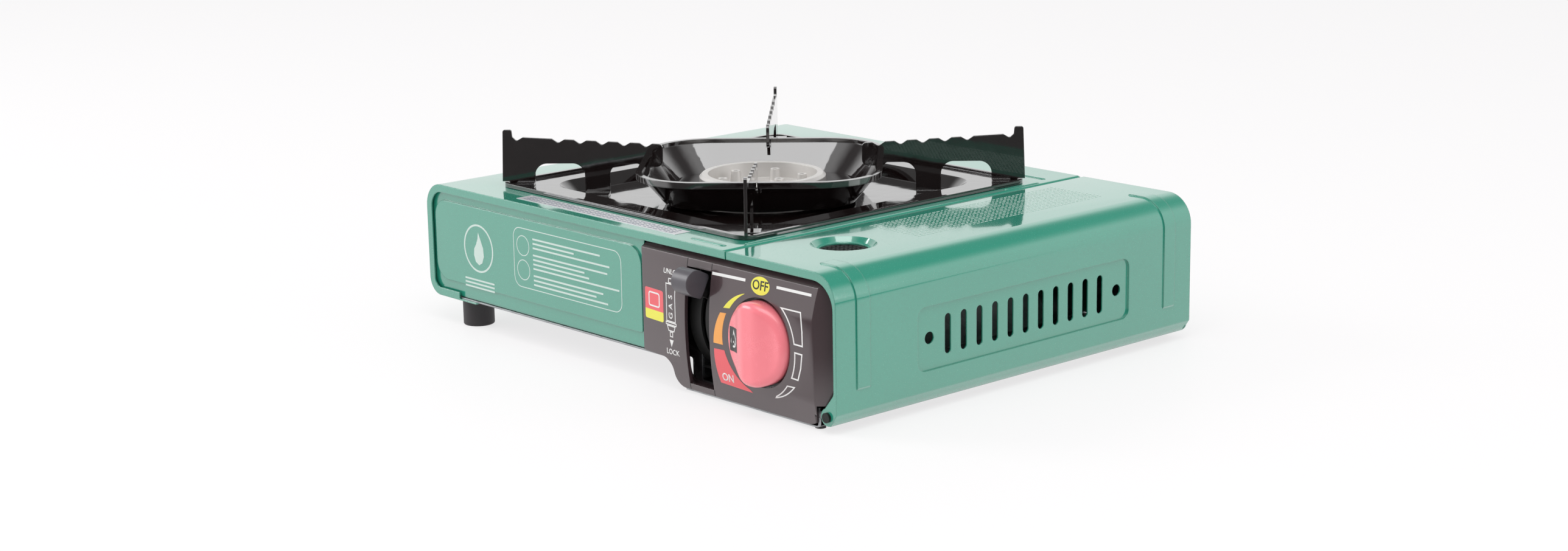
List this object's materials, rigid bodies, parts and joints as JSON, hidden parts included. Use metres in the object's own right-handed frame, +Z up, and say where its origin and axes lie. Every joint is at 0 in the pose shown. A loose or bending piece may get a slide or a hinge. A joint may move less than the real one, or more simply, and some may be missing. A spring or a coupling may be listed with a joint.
{
  "type": "portable butane stove",
  "caption": "Flat portable gas stove: wind ring and pan arms over a burner, drip tray, rotary knob, canister lever and hinged canister lid.",
  "frame": {"origin": "centre of the whole stove's footprint, on the table under the feet", "axes": "+X right along the control front, towards the canister lid; +Y from the control front to the back; +Z up"},
  "size_m": [0.3456, 0.2844, 0.1138],
  "materials": {
    "green_paint": "gloss",
    "black_enamel": "gloss",
    "panel_plastic": "gloss",
    "knob_plastic": "satin",
    "matte_plastic": "matte",
    "grip_plastic": "matte",
    "zinc_sheet": "satin",
    "steel": "satin",
    "chrome": "polished",
    "black_steel": "matte",
    "burner_alloy": "cast",
    "cast_zinc": "cast",
    "brass": "satin",
    "rubber": "matte",
    "ceramic": "glazed",
    "lead_insulation": "matte"
  },
  "bodies": {
    "body": {"body_shell": "green_paint", "floor_pan": "zinc_sheet", "front_plate": "green_paint", "back_plate": "green_paint", "partition_wall": "zinc_sheet", "left_feet": "rubber", "foot_screws": "steel", "well_pads": "rubber", "lid_hinge_pins": "chrome", "cradle_rail_left": "zinc_sheet", "cradle_rail_right": "zinc_sheet", "canister_key": "zinc_sheet", "control_panel": "panel_plastic", "panel_mount": "zinc_sheet", "panel_screws": "steel", "lever_guard": "matte_plastic", "lever_pivot_pin": "steel", "lever_bracket": "zinc_sheet", "regulator_body": "cast_zinc", "regulator_cap": "steel", "canister_socket": "brass", "socket_seal": "rubber", "gas_pipe": "steel", "jet_holder": "brass", "gas_jet": "brass", "jet_bracket": "zinc_sheet", "igniter": "matte_plastic", "igniter_lead": "lead_insulation", "electrode": "ceramic", "electrode_tip": "steel", "electrode_holder": "steel", "mixing_tube": "steel", "air_shutter": "zinc_sheet", "burner_cup": "cast_zinc", "burner_head": "burner_alloy", "burner_bracket": "zinc_sheet", "burner_screws": "steel"},
    "lid": {"canister_lid": "green_paint", "lid_screen": "black_steel"},
    "lever": {"lever": "steel", "lever_grip": "grip_plastic"},
    "canister_slide": {"canister_slide": "zinc_sheet"},
    "knob": {"knob": "knob_plastic", "knob_spindle": "brass", "igniter_cam": "matte_plastic"},
    "plunger": {"igniter_plunger": "steel"},
    "tray": {"drip_tray": "black_enamel"},
    "pan_support": {"wind_bowl": "black_enamel", "support_arm_left": "black_enamel", "support_arm_front": "black_enamel", "support_arm_right": "black_enamel", "support_arm_back": "black_enamel"}
  },
  "joints": [
    {"name": "lid_hinge", "type": "hinge", "parent": "body", "child": "lid", "pos_m": [0.16565, 0, 0.0086], "axis": [0, 1, 0], "range_deg": [0, 80]},
    {"name": "lever_swing", "type": "hinge", "parent": "body", "child": "lever", "pos_m": [0.0712, -0.09222, 0.041], "axis": [1, 0, 0], "range_deg": [0, 54]},
    {"name": "slide_push", "type": "slide", "parent": "body", "child": "canister_slide", "axis": [0, -1, 0], "range_m": [0, 0.00908]},
    {"name": "knob_turn", "type": "hinge", "parent": "body", "child": "knob", "pos_m": [0.11915, -0.12823, 0.0385], "axis": [0, -1, 0], "range_deg": [0, 110]},
    {"name": "plunger_push", "type": "slide", "parent": "body", "child": "plunger", "axis": [1, 0, 0], "range_m": [0, 0.0044]},
    {"name": "tray_lift", "type": "slide", "parent": "body", "child": "tray", "axis": [0, 0, 1], "range_m": [0, 0.06]},
    {"name": "support_lift", "type": "slide", "parent": "tray", "child": "pan_support", "axis": [0, 0, 1], "range_m": [0, 0.06]}
  ],
  "couplings": [
    {"joint": "slide_push", "follows": "lever_swing", "m_per_rad": 0.009634},
    {"joint": "plunger_push", "follows": "knob_turn", "m_per_rad": 0.0022918}
  ]
}
